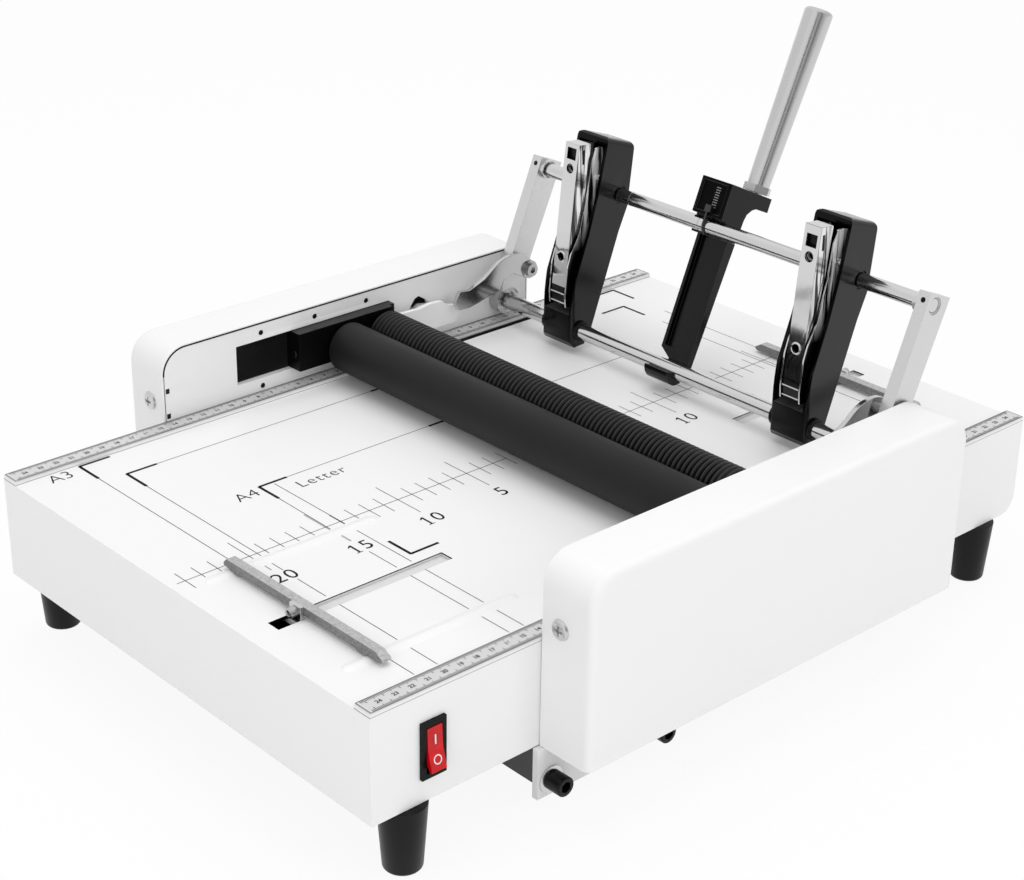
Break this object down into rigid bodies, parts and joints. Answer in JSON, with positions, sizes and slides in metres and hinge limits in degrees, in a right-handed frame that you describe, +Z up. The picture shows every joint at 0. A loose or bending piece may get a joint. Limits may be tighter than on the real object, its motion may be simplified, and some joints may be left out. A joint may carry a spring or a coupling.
{
  "type": "booklet maker",
  "caption": "Table-top booklet maker: a white bed with side housings, two folding rollers and a hand lever that carries two stapling heads.",
  "frame": {"origin": "middle of the bed at the level the feet stand on", "axes": "+Z up, -Y the front where the switch end of the bed is, +X to the right"},
  "size_m": [0.395, 0.5, 0.3189],
  "materials": {
    "white_paint": "smooth white powder coat",
    "dark_sheet": "satin black paint",
    "foot_rubber": "moulded black rubber",
    "ruler_steel": "brushed, etched scale",
    "plated_steel": "bright plating",
    "black_steel": "black coat",
    "black_plastic": "fine texture",
    "red_plastic": "translucent red",
    "rod_chrome": "polished",
    "arm_steel": "satin plating",
    "black_gloss": "glossy black",
    "smooth_rubber": "ground smooth",
    "ribbed_rubber": "ribbed round",
    "brass": "machined",
    "stop_steel": "grey cast"
  },
  "bodies": {
    "bed": {"bed_shell": "white_paint", "bed_floor": "dark_sheet", "foot_fl": "foot_rubber", "foot_fr": "foot_rubber", "foot_rl": "foot_rubber", "foot_rr": "foot_rubber", "side_plate_l": "white_paint", "side_plate_r": "white_paint", "side_cover_l": "white_paint", "side_cover_r": "white_paint", "ruler_l": "ruler_steel", "ruler_r": "ruler_steel", "cover_screws": "plated_steel", "tie_screws": "black_steel", "cross_panel": "dark_sheet", "anvils": "plated_steel", "switch_bezel": "black_plastic", "power_inlet": "black_plastic", "knife_frame": "dark_sheet", "knife_motor": "dark_sheet"},
    "rocker": {"rocker": "red_plastic"},
    "lever": {"lower_rod": "rod_chrome", "rod_collars": "plated_steel", "arm_l": "arm_steel", "arm_r": "arm_steel", "cam_l": "rod_chrome", "cam_r": "rod_chrome", "cam_bolts": "plated_steel", "upper_rod": "rod_chrome", "stapler_l": "black_gloss", "stapler_r": "black_gloss", "rod_bushes": "plated_steel", "leaf_springs": "rod_chrome", "lever_channel": "black_steel", "holder": "black_steel", "scale_pointer": "plated_steel", "handle": "arm_steel", "handle_collar": "plated_steel"},
    "magazine_left": {"magazine_l": "rod_chrome"},
    "magazine_right": {"magazine_r": "rod_chrome"},
    "carriage": {"carriage_bar_l": "black_steel", "carriage_bar_r": "black_steel", "push_links": "plated_steel", "roller_motor": "dark_sheet"},
    "motor_shaft": {"motor_pinion": "brass"},
    "smooth_roller": {"roller_front": "smooth_rubber", "gear_front": "brass"},
    "ribbed_roller": {"roller_rear": "ribbed_rubber", "gear_rear": "brass"},
    "knife": {"knife_blade": "plated_steel", "knife_rack": "black_steel"},
    "knife_drive": {"knife_shaft": "plated_steel"},
    "front_fence": {"front_stop": "stop_steel", "front_clamp": "plated_steel"},
    "front_fence_screw": {"front_screw": "plated_steel"},
    "rear_fence": {"rear_stop": "stop_steel", "rear_clamp": "plated_steel"},
    "rear_fence_screw": {"rear_screw": "plated_steel"}
  },
  "joints": [
    {"name": "switch", "type": "hinge", "parent": "bed", "child": "rocker", "pos_m": [0.1625, -0.213, 0.06725], "axis": [0, 1, 0], "range_deg": [0, 22]},
    {"name": "lever_swing", "type": "hinge", "parent": "bed", "child": "lever", "pos_m": [0, 0.12, 0.1125], "axis": [1, 0, 0], "range_deg": [0, 95]},
    {"name": "magazine_left_pivot", "type": "hinge", "parent": "lever", "child": "magazine_left", "pos_m": [-0.097, 0.1215, 0.134], "axis": [1, 0, 0], "range_deg": [-4, 0], "stiffness_Nm_per_rad": 2, "springref_deg": 11.46},
    {"name": "magazine_right_pivot", "type": "hinge", "parent": "lever", "child": "magazine_right", "pos_m": [0.097, 0.1215, 0.134], "axis": [1, 0, 0], "range_deg": [-4, 0], "stiffness_Nm_per_rad": 2, "springref_deg": 11.46},
    {"name": "carriage_slide", "type": "slide", "parent": "bed", "child": "carriage", "axis": [0, -1, 0], "range_m": [0, 0.0401]},
    {"name": "smooth_roller_spin", "type": "hinge", "parent": "carriage", "child": "smooth_roller", "pos_m": [0, -0.014, 0.117], "axis": [1, 0, 0], "continuous": true},
    {"name": "ribbed_roller_spin", "type": "hinge", "parent": "carriage", "child": "ribbed_roller", "pos_m": [0, 0.017, 0.117], "axis": [1, 0, 0], "continuous": true},
    {"name": "motor_spin", "type": "hinge", "parent": "carriage", "child": "motor_shaft", "pos_m": [0.171, -0.0365, 0.117], "axis": [1, 0, 0], "continuous": true},
    {"name": "knife_lift", "type": "slide", "parent": "bed", "child": "knife", "axis": [0, 0, 1], "range_m": [0, 0.014]},
    {"name": "knife_turn", "type": "hinge", "parent": "bed", "child": "knife_drive", "pos_m": [0, 0.01967, 0.061], "axis": [1, 0, 0], "range_deg": [-101, 0]},
    {"name": "front_fence_slide", "type": "slide", "parent": "bed", "child": "front_fence", "axis": [0, 1, 0], "range_m": [-0.012, 0.09]},
    {"name": "front_screw_turn", "type": "hinge", "parent": "front_fence", "child": "front_fence_screw", "pos_m": [0.0663, -0.22, 0.1018], "axis": [0, 1, 0], "range_deg": [0, 180]},
    {"name": "rear_fence_slide", "type": "slide", "parent": "bed", "child": "rear_fence", "axis": [0, 1, 0], "range_m": [-0.06, 0.015]},
    {"name": "rear_screw_turn", "type": "hinge", "parent": "rear_fence", "child": "rear_fence_screw", "pos_m": [0.052, 0.214, 0.1018], "axis": [0, 1, 0], "range_deg": [0, 180]}
  ],
  "couplings": [
    {"joint": "carriage_slide", "follows": "lever_swing", "m_per_rad": 0.02412},
    {"joint": "ribbed_roller_spin", "follows": "smooth_roller_spin", "ratio": -1},
    {"joint": "motor_spin", "follows": "smooth_roller_spin", "ratio": -2.2143},
    {"joint": "knife_turn", "follows": "knife_lift", "rad_per_m": -125}
  ]
}
